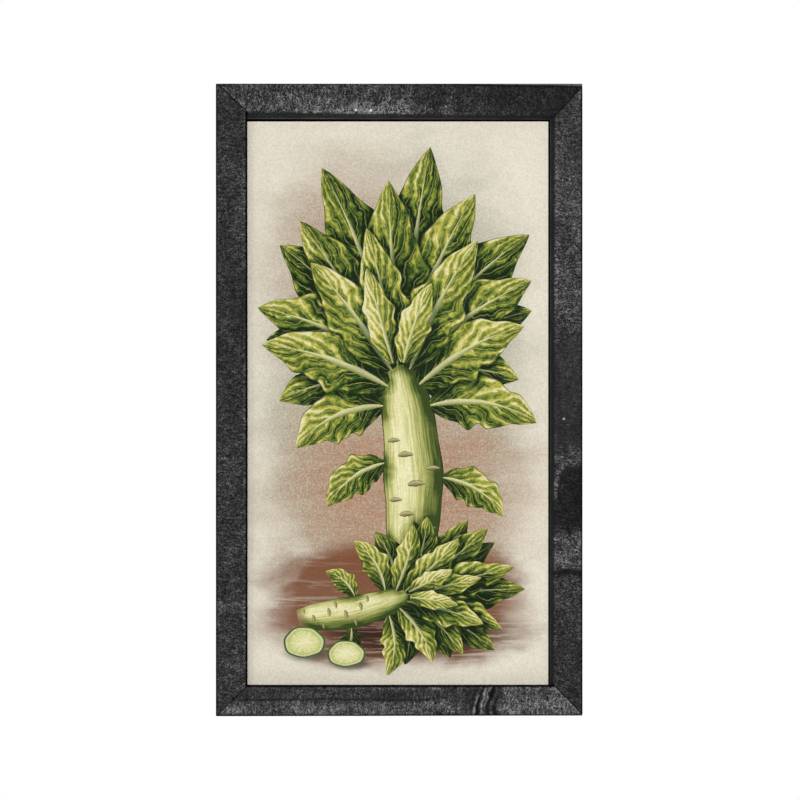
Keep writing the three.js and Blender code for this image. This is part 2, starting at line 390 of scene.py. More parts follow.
# light and dark places of each rail: from u, to u, from w, to w, softness, lighter, rougher
railPlaces = {
    "top": [
        (-190, 12, -2, 32, 60, 0.12, 0.5), (-110, 10, 14, 32, 30, 0.13, 0.5),
        (-92, -30, 15, 30, 16, 0.1, 0.3), (34, 76, -2, 32, 24, -0.16, -0.1),
        (-72, -20, 23, 34, 14, 0.16, 0.6), (-40, 60, 23, 34, 9, 0.14, 0.4),
        (-100, -60, 2, 14, 22, 0.06, 0.3), (84, 190, -2, 36, 30, -0.2, -0.3),
        (130, 190, -2, 36, 24, -0.1, 0.0), (48, 56, -2, 36, 4, 0.14, 0.1),
    ],
    "right": [
        (-330, 330, -2, 32, 40, 0.03, 0.0), (-330, -190, -2, 32, 40, 0.12, 0.5),
        (-240, -150, 4, 32, 30, 0.08, 0.3), (-215, -85, -2, 15, 30, 0.17, 0.2),
        (-150, -78, 14, 32, 24, 0.26, 0.3), (-140, 40, -2, 32, 40, -0.05, -0.2),
        (44, 68, 0, 15, 10, 0.17, 0.35), (141, 176, -2, 32, 9, 0.12, 0.6),
        (162, 176, 14, 32, 6, 0.14, 0.2), (177, 182, -2, 32, 3, -0.5, -0.4),
        (184, 300, -2, 32, 30, 0.0, 0.25), (256, 330, -2, 32, 30, -0.13, 0.0),
    ],
    "bottom": [
        (-190, 190, -2, 32, 40, 0.0, -0.1), (-40, 190, 0, 15, 10, 0.22, 0.4),
        (0, 110, 1, 11, 8, 0.16, 0.35), (-40, 190, 18, 32, 8, 0.0, -0.1),
        (-183, -106, -2, 32, 10, 0.36, 0.5), (-150, -112, 2, 16, 12, 0.1, 0.3),
        (-62, -42, 2, 18, 12, 0.3, 0.35), (-82, -62, -2, 32, 8, 0.12, 0.0),
        (56, 108, -2, 32, 20, 0.1, 0.1), (-162, -140, 16, 32, 10, -0.14, 0.0),
        (160, 184, 2, 10, 8, 0.3, 0.4),
    ],
    "left": [
        (-330, 330, -2, 32, 40, -0.03, 0.0), (-222, -208, 0, 30, 6, 0.14, 0.2),
        (-170, -120, 0, 30, 30, 0.05, 0.1), (120, 200, 0, 30, 40, 0.03, 0.1),
        (182, 245, -2, 32, 30, 0.11, 0.1), (50, 118, 14, 32, 24, -0.13, 0.0),
        (-122, -86, -2, 15, 16, 0.1, 0.1), (-252, -226, -2, 32, 14, 0.09, 0.0),
    ],
}

# how far out of true the edges of each rail are, in mm: the inner one at the front, at its start, middle
# and end, and at the ledge; the outer one at its start and end. rim is how light the inner front edge is,
# partly rubbed wear and partly a painted highlight;
# where it is None, a black painted shadow line for the gap round the sheet runs there instead, and line is
# how black the outer edge is.
railEdges = {
    "top": {"front": (-0.6, 1.5, 3.2), "ledge": 5.2, "outer": (0.16, 0.1),
            "rim": (0.26, 0.26, 0.0), "line": 0.4},
    "right": {"front": (-1.7, -1.1, -0.3), "ledge": 2.9, "outer": (0.28, 0.34),
              "rim": (0.06, 0.06, 0.06), "line": 0.95},
    "bottom": {"front": (1.9, 1.6, 1.6), "ledge": -0.8, "outer": (0.0, 0.66), "rim": None, "line": 0.9},
    "left": {"front": (2.65, 2.75, 2.35), "ledge": 0.0, "outer": (0.33, 0.38), "rim": None, "line": 0.9},
}

# lines along the edges and the mitres: how far off, and how wide or soft, in mm
railLines = {"outer": (1.7, 0.8), "shadowLine": (2.4, 0.8), "rim": (2.2, 1.3), "wearAndHighlight": (3.4, 0.9),
             "mitre": (1.1, 1.1), "besideMitre": (1.9, 0.7)}

# small pale spots: u, w, radius, lighter; a value above 1 is a chip down to white wood
railSpots = {
    "top": ((-45, 27.2, 1.4, 1.65), (-29.5, 27.8, 1.3, 1.8), (-22, 28, 2.2, 0.6), (-17, 28.2, 2.2, 0.6),
            (-46, 21.5, 2.6, 0.5)),
    "right": ((19.8, 19.2, 1.2, 1.5), (26, 14.8, 0.9, 0.8), (-60, 28.6, 0.7, 0.6), (-38, 28.4, 0.7, 0.6),
              (8, 28.6, 0.7, 0.6)),
    "bottom": ((-143, 12.1, 1.1, 1.4), (150, 3.5, 1.3, 0.6), (168, 5, 1.2, 0.5)),
    "left": ((-212, 20, 1.1, 0.3), (-60, 9, 0.9, 0.25)),
}

# how strong the flecks are: from u, to u, share; below 1 the stretch looks planed
railSmooth = {
    "top": ((-190, 75, 1.12),),
    "right": ((-330, -170, 0.8), (-62, 52, 0.5)),
    "bottom": ((-104, -72, 0.6), (-30, 190, 0.8)),
}
# a dark patch with a rounded shoulder, pale round its rim
darkPatch = {"rail": "right", "u": 105, "w": 14, "long": 36, "wide": 12, "end": 136,
             "dark": 0.46, "pale": 0.25}
# wane and painted highlight: the outer edge is bare at one end of the rail, with a nick in it, and painted
# pale there as a highlight, with a dark line just inside it
waneAndHighlight = {"rail": "top", "from": 70, "to": 194, "wide": (0.5, 2.4), "pale": 0.8, "nick": 122}
split = {"rail": "bottom", "from": -32, "to": 165, "w": 17, "wide": 1.6, "deep": 0.45}
knot = {
    "rail": "bottom",
    "u": -87,
    "lean": -0.28,
    # offset along, half width, lighter, height
    "streaks": ((-16, 4.0, -0.1, -0.2), (-10, 2.6, -0.45, -0.4), (-6.4, 1.3, 1.1, 0.4),
                (-3.4, 1.8, -1.2, -0.7), (0.2, 1.4, 1.6, 0.5), (4.0, 1.3, 1.3, 0.4),
                (7.4, 1.9, -1.2, -0.7), (11.2, 1.3, 0.5, 0.3), (14.5, 2.4, -0.6, -0.3)),
}

railSides = {
    "top": {"turn": 0, "length": frameWidth, "reach": frameHeight / 2},
    "right": {"turn": 1, "length": frameHeight, "reach": frameWidth / 2},
    "bottom": {"turn": 2, "length": frameWidth, "reach": frameHeight / 2},
    "left": {"turn": 3, "length": frameHeight, "reach": frameWidth / 2},
}


def railBlank(length):
    lip, rebateWall = rail["lip"], railFace - rail["rebate"]
    bpy.ops.object.select_all(action="DESELECT")
    bpy.ops.mesh.primitive_cube_add(size=1, location=(0, frontY + lip / 2, -railFace / 2))
    blank = bpy.context.object
    blank.scale = (length, lip, railFace)
    bpy.ops.object.transform_apply(location=True, rotation=True, scale=True)
    mode("EDIT")
    cutLoop((0, 0, -rebateWall), (0, 0, 1))
    pick(blank, "FACE", lambda f: f.normal.y > 0.9 and f.calc_center_median().z > -rebateWall)
    pull(0, backY - frontY - lip, 0)

    def frontArris(e):
        a, b = (v.co for v in e.verts)
        level = abs(a.z) < 1e-6 or abs(a.z + railFace) < 1e-6
        return level and abs(a.x - b.x) > length / 2 and abs(a.y - frontY) < 1e-6
    pick(blank, "EDGE", frontArris)
    bpy.ops.mesh.bevel(offset=rail["arris"], segments=2, affect="EDGES")
    for i in range(1, round(railFace / rail["faceLoops"])):
        cutLoop((0, 0, -i * rail["faceLoops"]), (0, 0, 1))
    for i in range(1, round((backY - frontY) / rail["sideLoops"])):
        cutLoop((0, frontY + i * rail["sideLoops"], 0), (0, 1, 0))
    pieces = 8
    for cuts in (pieces - 1, round(length / rail["alongLoops"] / pieces) - 1):
        pick(blank, "EDGE", lambda e: abs(e.verts[0].co.x - e.verts[1].co.x) > 1e-5)
        bpy.ops.mesh.subdivide(number_cuts=cuts)
    mode("OBJECT")
    return blank


# height in mm, how light the stain is, how strong its flecks are and where it is chipped off
def railSurface(side, u, w, d):
    seed = 10 * railSides[side]["turn"] + 3
    across = np.where(w < 0.4, -d, w + np.where(w > 29, d, 0))
    lighter = np.zeros_like(u)
    rougher = np.full_like(u, 0.35)
    ragged = 7 * softNoise(u / 16, across / 7, seed + 1) + 3 * softNoise(u / 5, across / 3, seed + 2)
    for u0, u1, w0, w1, soft, light, rough in railPlaces[side]:
        wander = ragged * min(1, soft / 14)
        share = band(u + wander, u0, u1, soft) * band(w + 0.25 * wander, w0, w1, max(3, soft * 0.3))
        lighter += light * share
        rougher += rough * share
    flecks = np.ones_like(u)
    for start, end, left in railSmooth.get(side, ()):
        flecks -= (1 - left) * band(u + ragged, start, end, 34)
    if side == darkPatch["rail"]:
        start, end, long = darkPatch["u"], darkPatch["end"], darkPatch["long"]
        inwards = np.maximum(0, w - darkPatch["w"]) / darkPatch["wide"]
        away = np.hypot(inwards, np.maximum(0, start - u) / long) + 0.01 * ragged
        share = np.clip((1 - away) / 0.2 + 0.5, 0, 1) * band(u + ragged, -400, end, 12)
        share = np.maximum(share, band(u + 0.3 * ragged, start, end, 12))
        lighter -= darkPatch["dark"] * share
        rougher -= darkPatch["dark"] * share
        rim = hump(away, 1.2, 0.2) * band(u, start - long, start - 6, 12)
        lighter += darkPatch["pale"] * rim * (w > darkPatch["w"])
    rougher = np.clip(rougher, 0.05, 1.3)
    height = rail["wave"] * softNoise(u / 42, across / 13, seed + 3)
    lean = u + 0.16 * across + 1.6 * softNoise(u / 23, across / 11, seed + 4)
    sawn = np.sin(2 * math.pi * lean / rail["sawPitch"])
    height += rail["saw"] * sawn * (0.6 + 0.5 * softNoise(u / 18, across / 9, seed + 5))
    torn = softNoise(u / 2.1 + 0.2 * across, across / 2.6, seed + 6)
    torn += 0.7 * softNoise(u / 1.6, across / 1.5 + 0.1 * u, seed + 7)
    height += rail["fuzz"] * rougher * torn * 0.6
    lighter += 0.1 * rougher * torn + 0.04 * sawn
    chips = np.zeros_like(u)
    for spotU, spotW, radius, light in railSpots[side]:
        share = np.exp(-((u - spotU) ** 2 + (w - spotW) ** 2) / radius ** 2) * (d < 2)
        lighter += light * share
        chips = np.maximum(chips, max(0, light - 1) * share)
        height += 0.25 * share
    if side == split["rail"]:
        path = split["w"] + 0.9 * softNoise(u / 25, 0, seed + 8)
        crack = band(across, path - split["wide"] / 2, path + split["wide"] / 2, 1.2)
        crack *= band(u, split["from"], split["to"], 20)
        height -= split["deep"] * crack
        lighter -= 0.3 * crack
    if side == knot["rail"]:
        centre = knot["u"] + 2.2 * softNoise(across / 11, 0, seed + 9) + knot["lean"] * (across - 15)
        for number, (offset, wide, light, deep) in enumerate(knot["streaks"], seed + 20):
            path = centre - offset + 1.1 * softNoise(across / 4.5, 0, number)
            thick = wide * (0.75 + 0.5 * softNoise(across / 6, 5, number + 20))
            share = hump(u, path, np.maximum(thick, 0.4))
            share *= np.clip(0.85 + 0.55 * softNoise(across / 5, 9, number + 40), 0, 1)
            lighter += light * share
            height += deep * share
    return height, lighter, flecks, chips


# how far past its true mitre a rail runs, in mm, so that the inner edges meet
def mitreShift(side, u, w, d):
    order = list(railSides)
    here = order.index(side)
    own, before, after = (railEdges[order[i % 4]] for i in (here, here - 1, here + 1))
    atFront = np.where(u < 0, own["front"][0] - before["front"][2], own["front"][2] - after["front"][0])
    atLedge = np.where(u < 0, own["ledge"] - before["ledge"], own["ledge"] - after["ledge"])
    lip, back = rail["lip"] / mm, (backY - frontY) / mm
    deep = np.where(d < lip, atFront + (atLedge - atFront) * d / lip, atLedge * (back - d) / (back - lip))
    shift = atFront * (1 - d / back)
    for _ in range(3):  # the shift depends on where the shifted mitre runs
        middle = w - shift / 2
        outside = atFront * (1 - d / back) * np.clip(0.6 + 0.4 * middle / 30, 0.6, 1)
        inner = np.clip((middle - 12) / 16, 0, 1)
        shift = outside + (deep - outside) * inner
    return shift


def makeRail(side, stain):
    edges, length = railEdges[side], railSides[side]["length"]
    half, face, lip = length / 2 / mm, railFace / mm, rail["lip"] / mm
    rebateWall = face - rail["rebate"] / mm
    piece = railBlank(length)
    mesh = piece.data
    places = read(mesh.vertices, "co", float, 3)
    u, w, d = places[:, 0] / mm, -places[:, 2] / mm, (places[:, 1] - frontY) / mm

    # edges out of true, and both ends sloped to the mitres
    front = np.interp(u, (-half, 0, half), edges["front"])
    edge = np.where(d < lip + 0.1, front * (1 - d / lip) + edges["ledge"] * d / lip, 0)
    w = w + edge * np.clip((w - rebateWall) / (face - rebateWall), 0, 1)
    w = w - np.interp(u, (-half, half), edges["outer"]) * np.clip(1 - w / 6, 0, 1)
    places[:, 2] = -w * mm
    setBack = rail["mitreGap"] / 2 * math.sqrt(2)
    reach = np.minimum(length / 2 + places[:, 2] + mitreShift(side, u, w, d) * mm - setBack, length / 2)
    places[:, 0] *= reach / (length / 2)
    mesh.vertices.foreach_set("co", places.ravel())
    mesh.update()
    normals = read(mesh.vertices, "normal", float, 3)

    # the sawn surface, weaker at the edges and behind
    u = places[:, 0] / mm
    height, lighter, flecks, chips = railSurface(side, u, w, d)
    toMitre, toInner = reach / mm - np.abs(u), face + edge - w
    inRebate = (d > lip - 0.1) & (w > rebateWall - 0.1)
    relief = np.where(d > 1, rail["sideRelief"], 1)
    relief[d > (backY - frontY) / mm - 0.5] = rail["backRelief"]
    height *= np.clip(toMitre / 1.5, 0, 1) * relief
    height *= np.where(d < 3, np.clip(np.minimum(w, toInner) / 2.5, 0.2, 1), 1)
    height = np.where(inRebate, 0, height)
    normals[:, 0] *= toMitre > 0.05  # the mitre faces stay flat
    atMitre = within(toMitre, *railLines["mitre"]) * (d < 1)
    moved = places + normals * (height * mm)[:, None]
    moved[:, 1] += rail["mitreSink"] * atMitre * mm
    mesh.vertices.foreach_set("co", moved.ravel())

    # black lines along the mitres and the outer edges, a black painted shadow line along the inner front edge
    # of the left and bottom rails, and pale lines there that are partly wear and partly painted highlight
    onFace = d < 2
    seamAndShadow = np.maximum(atMitre, edges["line"] * within(w, *railLines["outer"]) * onFace)
    bareAndHighlight = np.zeros_like(u)
    # a painted highlight along the inner front edge of the top and right rails, partly rubbed wear
    if edges["rim"]:
        rim = np.interp(u, (-half, 0, half), edges["rim"])
        lighter += rim * hump(toInner, *railLines["rim"]) * (d < 0.3)
    else:
        # painted shadow: a black line along the inner front edge, for the shadow in the gap round the sheet
        seamAndShadow = np.maximum(seamAndShadow, within(toInner, *railLines["shadowLine"]) * onFace)
        # a pale line just off the inner edge, partly uneven wear and partly a painted highlight
        wearAndHighlight = np.clip(0.5 + 0.8 * softNoise(u / 19, 0, 7), 0, 1)
        lighter += 0.34 * wearAndHighlight * hump(toInner, *railLines["wearAndHighlight"]) * (d < 0.3)
    # the pale line beside the mitre is a painted highlight on the mitre's edge
    if side in ("top", "bottom"):  # a pale line beside the mitre at one end
        lighter += 0.4 * hump(toMitre, *railLines["besideMitre"]) * (u < 0) * onFace
    # a pale strip along the outer edge, partly bare wood and partly a painted highlight, with a dark line
    # just inside it
    if side == waneAndHighlight["rail"]:
        wide = np.interp(u, (waneAndHighlight["from"], waneAndHighlight["to"]), waneAndHighlight["wide"])
        along = band(u, waneAndHighlight["from"], 400, 30)
        bareAndHighlight = within(w, wide, 0.5) * along * (d < 3) * (np.abs(u - waneAndHighlight["nick"]) > 1.2)
        lighter -= 0.9 * hump(w, wide + 0.9, 0.7) * along
        lighter += bareAndHighlight * (waneAndHighlight["pale"] - lighter)
        seamAndShadow = seamAndShadow * (1 - bareAndHighlight)

    apart = np.array((railSides[side]["turn"] * 1.3, 0, 0))  # so that no two rails have the same grain
    grain = mesh.attributes.new("grain", "FLOAT_VECTOR", "POINT")
    grain.data.foreach_set("vector", (places + apart).ravel().astype(np.float32))
    shown = {"pale": np.clip(lighter, -1, 1), "seamAndShadow": seamAndShadow, "bareAndHighlight": bareAndHighlight, "flecks": flecks, "chip": chips}
    for name, values in shown.items():
        addAttribute(mesh, name, "POINT", values)
    turn = Matrix.Rotation(railSides[side]["turn"] * math.pi / 2, 4, "Y")
    raised = Matrix.Translation((0, 0, railSides[side]["reach"]))
    mesh.transform(Matrix.Translation((0, 0, centreZ)) @ turn @ raised)
    mesh.update()
    settle(piece, "sawn_rail_" + side, "stained_wood", "rail_" + side, stain, 40)
    print("rail", side, len(mesh.polygons), "faces")


stainLook = {
    # black of the mitre and outer edge lines and of the painted shadow lines round the sheet
    "shadowLine": (0.0006, 0.0006, 0.0007),
    "levels": ((0.0, (0.0055, 0.0055, 0.0055)), (0.22, (0.0112, 0.0112, 0.0114)),
               (0.44, (0.0305, 0.0305, 0.0308))),
    "grey": (0.085, 0.085, 0.085),
    "fleck": (0.27, 0.27, 0.27),
    "raw": (0.2, 0.135, 0.08),
    "rawDark": (0.085, 0.054, 0.031),
    "inner": (0.0195, 0.0212, 0.023),  # the smoother faces round the sheet
    "waneAndHighlight": (0.1, 0.1, 0.1),
    "chip": (0.8, 0.79, 0.77),
}


def blackStain():
    look, board = stainLook, Board("blackStain")
    grain = board.attribute("grain", "Vector")
    broad = grain.noise((30, 60, 60), 3)
    fibre = grain.noise((270, 260, 220), 2, 0.5, 0.8)
    hair = grain.noise((720, 640, 560), 2, 0.6, 1.2)
    saw = grain.noise((420, 130, 100), 2, 0.6, 0.4)
    lift = board.attribute("pale") + broad.step(0.3, 0.7, -0.1, 0.1)
    streak = hair.step(0.34, 0.68, -0.62, 0.72) + fibre.step(0.34, 0.68, -0.2, 0.22)
    streak += saw.step(0.34, 0.68, -0.14, 0.16)
    level = streak * (lift.step(-0.35, 0.6, 0.6, 1.2) * board.attribute("flecks")) + lift
    colour = (level * 0.5 + 0.4).ramp(*look["levels"], (0.68, look["grey"]), (1.0, look["fleck"]))
    # the faces round the sheet, with a pale line near the ledge that is a painted highlight on its edge, and
    # a black painted shadow along the ledge
    _, depth, low = grain.split()
    inside = depth.step(frontY + 0.4 * mm, frontY + 1.2 * mm)
    inside *= low.step(-railFace + 4 * mm, -railFace + 2.6 * mm)
    colour = board.mix(inside * 0.8, colour, look["inner"])
    ledgeHighlight = depth.step(frontY + 8.0 * mm, frontY + 8.7 * mm)
    ledgeHighlight *= depth.step(frontY + 10.1 * mm, frontY + 9.4 * mm)
    colour = board.mix(inside * ledgeHighlight * broad.step(0.3, 0.6, 0.3, 0.9), colour, look["grey"])
    ledge = frontY + rail["lip"]
    # painted shadow: the deepest part of the inner faces is black, for the gap round the sheet
    shadowLine = inside * depth.step(ledge - 1.9 * mm, ledge - 1.2 * mm)
    colour = board.mix(board.attribute("seamAndShadow").sums("MAXIMUM", shadowLine), colour, look["shadowLine"])
    colour = board.mix(board.attribute("bareAndHighlight") * hair.step(0.3, 0.6, 0.55, 1.0), colour, look["waneAndHighlight"])
    colour = board.mix(board.attribute("chip").step(0.2, 0.5), colour, look["chip"])
    # the back is raw wood with smears of stain
    rings = grain.noise((9, 300, 300), 4, 0.6, 0.6)
    smear = grain.noise((26, 60, 90), 4, 0.6, 0.5)
    raw = board.mix(rings.step(0.35, 0.65), look["rawDark"], look["raw"])
    raw = board.mix(hair.step(0.4, 0.7, 0.0, 0.35), raw, look["rawDark"])
    behind = depth.step(backY - 1.2 * mm, backY - 0.2 * mm) * low.step(-1.0 * mm, -4.5 * mm)
    colour = board.mix(behind * smear.step(0.4, 0.58, 0.12, 0.95), colour, raw)
    rough = level.step(-0.5, 0.8, 0.66, 0.92)
    return board.finish(colour, rough, fibre * 0.6 + hair * 0.4, 0.5, 0.0004, shine=0.02)


stain = blackStain()
for side in railSides:
    makeRail(side, stain)


# boards: the black mount shows as a line round the sheet, near black so that it also stands in for the shadow
# in the gap there; the hardboard closes the back
hardboardLook = {
    "fibres": ((0.25, (0.105, 0.048, 0.02)), (0.5, (0.19, 0.096, 0.042)), (0.8, (0.3, 0.17, 0.08))),
    "cloud": (0.13, 0.064, 0.028),
    "fleck": (0.06, 0.028, 0.012),
}


def blackBoard():
    board = Board("blackBoard")
    tooth = board.objectPlace().noise(1600, 3)
    # near black: the board's own black, and also painted shade for the gap round the sheet
    colour = tooth.ramp((0.3, 0.001), (0.7, 0.003))
    return board.finish(colour, tooth.step(0.3, 0.7, 0.85, 0.97), tooth, 0.2, 0.0001, shine=0.03)


def brownHardboard():
    look, board = hardboardLook, Board("brownHardboard")
    place = board.objectPlace()
    fibre = place.noise((900, 900, 420), 4, 0.65, 1.2)
    fleck = place.noise(520, 2, 0.5, 2.0)
    colour = fibre.ramp(*look["fibres"])
    colour = board.mix(place.noise(14, 3).step(0.35, 0.7, 0.0, 0.35), colour, look["cloud"])
    colour = board.mix(fleck.step(0.66, 0.72, 0.0, 0.6), colour, look["fleck"])
    return board.finish(colour, fibre.step(0.3, 0.7, 0.5, 0.75), fibre + fleck, 0.25, 0.0002, shine=0.4)


wear(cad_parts["mount_board"], blackBoard())
wear(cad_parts["backing_board"], brownHardboard())
print("boards done")

# printed sheet: one flat mesh whose faces follow the outlines of a botanical plate,
# set out in mm from the middle of the sheet, x to the right and z up
plant = {
    "stemWidths": ((0, 17), (0.12, 25), (0.42, 31), (0.8, 26), (1, 17)),
    "stemLength": 216,
    "stemBow": 9,
    "leafWidth": 1.12,
    # side, in half widths of the stem; up from its top; heading from its axis; length; half width;
    # bend; tone
    "behind": (
        (0, -8, 60, 142, 29, 26, 0.12), (0, -8, 35, 182, 31, 15, 0.2), (0, -8, 13, 208, 32, 7, 0.1),
        (0, -8, -10, 218, 33, -7, 0.16), (0, -8, -34, 190, 32, -16, 0.08), (0, -8, -59, 146, 30, -24, 0.18),
        (-0.3, -20, 82, 122, 26, 38, 0.32), (0.3, -20, -80, 124, 26, -36, 0.28),
        (-0.2, -10, 48, 154, 28, 22, 0.4), (0.2, -10, -46, 156, 28, -21, 0.36),
        (-0.2, -6, 23, 180, 29, 11, 0.44), (0.2, -6, -21, 180, 29, -11, 0.48), (0, -4, 2, 192, 29, 2, 0.38),
    ),
    "before": (
        (-0.97, -104, 104, 76, 17, 52, 0.36), (0.97, -122, -100, 74, 17, -48, 0.34),
        (-0.9, -46, 88, 108, 22, 50, 0.52), (0.9, -48, -86, 110, 22, -52, 0.5),
        (-0.75, -26, 53, 126, 24, 30, 0.6), (0.75, -26, -51, 128, 24, -30, 0.62),
        (-0.5, -10, 26, 142, 24, 13, 0.72), (0.5, -10, -25, 142, 24, -13, 0.7),
        (-0.1, -6, 3, 136, 21, 3, 0.84), (-0.35, -3, 13, 98, 15, 6, 0.95), (0.25, -3, -14, 92, 14, -6, 1.0),
    ),
    "scars": 9,
}

plantsOnSheet = (
    {"top": (1, 46), "axis": 93, "size": 1.03, "seed": 3},
    {"top": (14, -200), "axis": 12, "size": 0.56, "seed": 8},
)

cutRounds = (  # across, up, half width, half height, tone
    (-98, -250, 22, 16.5, 0.5),
    (-54, -262, 20, 14, 0.8),
)

lampAngle = 125  # degrees, where the drawn light comes from
shadow = {"reach": 6.0, "shift": 2.2}  # mm


class Plate:  # gathers the outlines, the last on top
    def __init__(self):
        self.points, self.faces, self.maps, self.layers = [], [], [], []
        self.kinds, self.tones, self.rims = [], [], []

    def addGrid(self, kind, tone, grid, maps, rim):
        start = len(self.points)
        rows, columns = len(grid), len(grid[0])
        for row in grid:
            self.points.extend(row)
        layer = len(self.kinds)
        for i in range(rows - 1):
            for j in range(columns - 1):
                ring = (i, j), (i, j + 1), (i + 1, j + 1), (i + 1, j)
                self.faces.append([start + a * columns + b for a, b in ring])
                self.maps.append([maps[a][b] for a, b in ring])
                self.layers.append(layer)
        self.kinds.append(kind)
        self.tones.append(tone)
        self.rims.append(np.array(rim))


def leafGrid(base, heading, length, width, bend, seed, steps=30):
    left, middle, right = [], [], []
    x, z = base
    for i in range(steps + 1):
        u = i / steps
        angle = math.radians(heading + bend * u ** 1.25)
        if i:
            x += math.cos(angle) * length / steps
            z += math.sin(angle) * length / steps
        swell = math.sin(math.pi * min(1, 0.03 + 0.97 * u) ** 0.84) ** 0.85
        half = width * max(0.1 * (1 - u), swell) + 0.25
        ripple = 0.12 * math.sin(math.pi * u)
        one = half * (1 + ripple * math.sin(19 * u + seed * 1.7) + 0.6 * ripple * math.sin(37 * u + seed))
        two = half * (1 + ripple * math.sin(21 * u + seed * 2.3) + 0.6 * ripple * math.sin(33 * u + 2 * seed))
        side = (-math.sin(angle), math.cos(angle))
        left.append((x + side[0] * one, z + side[1] * one))
        middle.append((x, z))
        right.append((x - side[0] * two, z - side[1] * two))
    lit = math.cos(math.radians(heading + bend * 0.5 + 90 - lampAngle)) > 0
    maps = [[(i / steps, 1.0 if lit else 0.0), (i / steps, 0.5), (i / steps, 0.0 if lit else 1.0)]
            for i in range(steps + 1)]
    return list(zip(left, middle, right)), maps, left + right[::-1]


def stray(seed, k):  # a fixed scatter between -1 and 1
    value = math.sin(seed * 12.9898 + k * 78.233) * 43758.5453
    return 2 * (value - math.floor(value)) - 1


def addPlant(plate, spot):
    axis, size = math.radians(spot["axis"]), spot["size"]
    along = np.array((math.cos(axis), math.sin(axis)))
    across = np.array((math.sin(axis), -math.cos(axis)))
    top = np.array(spot["top"], float)
    length = plant["stemLength"] * size

    def stemAt(u):  # middle and half width of the stem
        half = size * float(np.interp(u, *zip(*plant["stemWidths"])))
        half *= 1 + 0.02 * math.sin(23 * u + spot["seed"])
        bow = across * size * plant["stemBow"] * math.sin(math.pi * u)
        return top - along * length * (1 - u) + bow, half

    def addLeaf(row, number):
        side, up, heading, reach, width, bend, tone = row
        spine, half = stemAt(1 + up / plant["stemLength"])
        base = tuple(spine + side * half * across)
        seed = spot["seed"] + number
        sway = [stray(seed, k) for k in range(5)]
        heading = spot["axis"] + heading + 5 * sway[0]
        reach = size * reach * (1 + 0.08 * sway[1])
        width = size * width * plant["leafWidth"] * (1 + 0.1 * sway[2])
        grid, maps, rim = leafGrid(base, heading, reach, width, bend + 7 * sway[3], seed)
        plate.addGrid("leaf", tone + 0.06 * sway[4], grid, maps, rim)

    for number, row in enumerate(plant["behind"]):
        addLeaf(row, number)
    steps = 18
    grid, maps = [], []
    for i in range(steps + 1):
        spine, half = stemAt(i / steps)
        grid.append([tuple(spine - across * half), tuple(spine), tuple(spine + across * half)])
        maps.append([(i / steps, 1.0), (i / steps, 0.5), (i / steps, 0.0)])
    plate.addGrid("stem", 0.5, grid, maps, [row[0] for row in grid] + [row[2] for row in grid][::-1])
    for i in range(plant["scars"]):  # crescents where lower leaves were taken off
        u = 0.06 + 0.56 * i / (plant["scars"] - 1)
        spine, half = stemAt(u)
        sway = (-0.62, 0.1, 0.66, -0.22)[i % 4]
        wide = half * (0.62 - 0.25 * abs(sway))
        base = tuple(spine + across * (half * sway - wide / 2))
        scar, scarMaps, rim = leafGrid(base, spot["axis"] - 90 + 14, wide, wide * 0.17, -28, i, steps=8)
        plate.addGrid("scar", 0.3 + 0.08 * (i % 3), scar, scarMaps, rim)
    for number, row in enumerate(plant["before"]):
        addLeaf(row, number + 30)


def addRound(plate, across, up, wide, high, tone):
    steps, rings = 36, (0.02, 0.5, 1.0)
    grid, maps = [], []
    for i in range(steps + 1):
        angle = 2 * math.pi * (i % steps) / steps
        wobble = 1 + 0.03 * math.sin(3 * angle + across) + 0.02 * math.sin(7 * angle)
        x, z = math.cos(angle), math.sin(angle)
        grid.append([(across + r * wide * wobble * x, up + r * high * wobble * z) for r in rings])
        maps.append([(r, i / steps) for r in rings])
    plate.addGrid("round", tone, grid, maps, [row[-1] for row in grid[:-1]])


def insideMap(point, corners, maps):  # the map position of a point of a face, from its two triangles
    best = None
    for a, b, c in ((0, 1, 2), (0, 2, 3)):
        (ax, az), (bx, bz), (cx, cz) = corners[a], corners[b], corners[c]
        area = (bx - ax) * (cz - az) - (cx - ax) * (bz - az)
        if abs(area) < 1e-9:
            continue
        s = ((point[0] - ax) * (cz - az) - (cx - ax) * (point[1] - az)) / area
        t = ((bx - ax) * (point[1] - az) - (point[0] - ax) * (bz - az)) / area
        worst = min(1 - s - t, s, t)
        if best is None or worst > best[0]:
            found = [(1 - s - t) * maps[a][k] + s * maps[b][k] + t * maps[c][k] for k in (0, 1)]
            best = worst, found
    return best[1] if best else maps[0]


inkSlots = {"ground": 0, "leaf": 1, "stem": 2, "scar": 3, "round": 4}


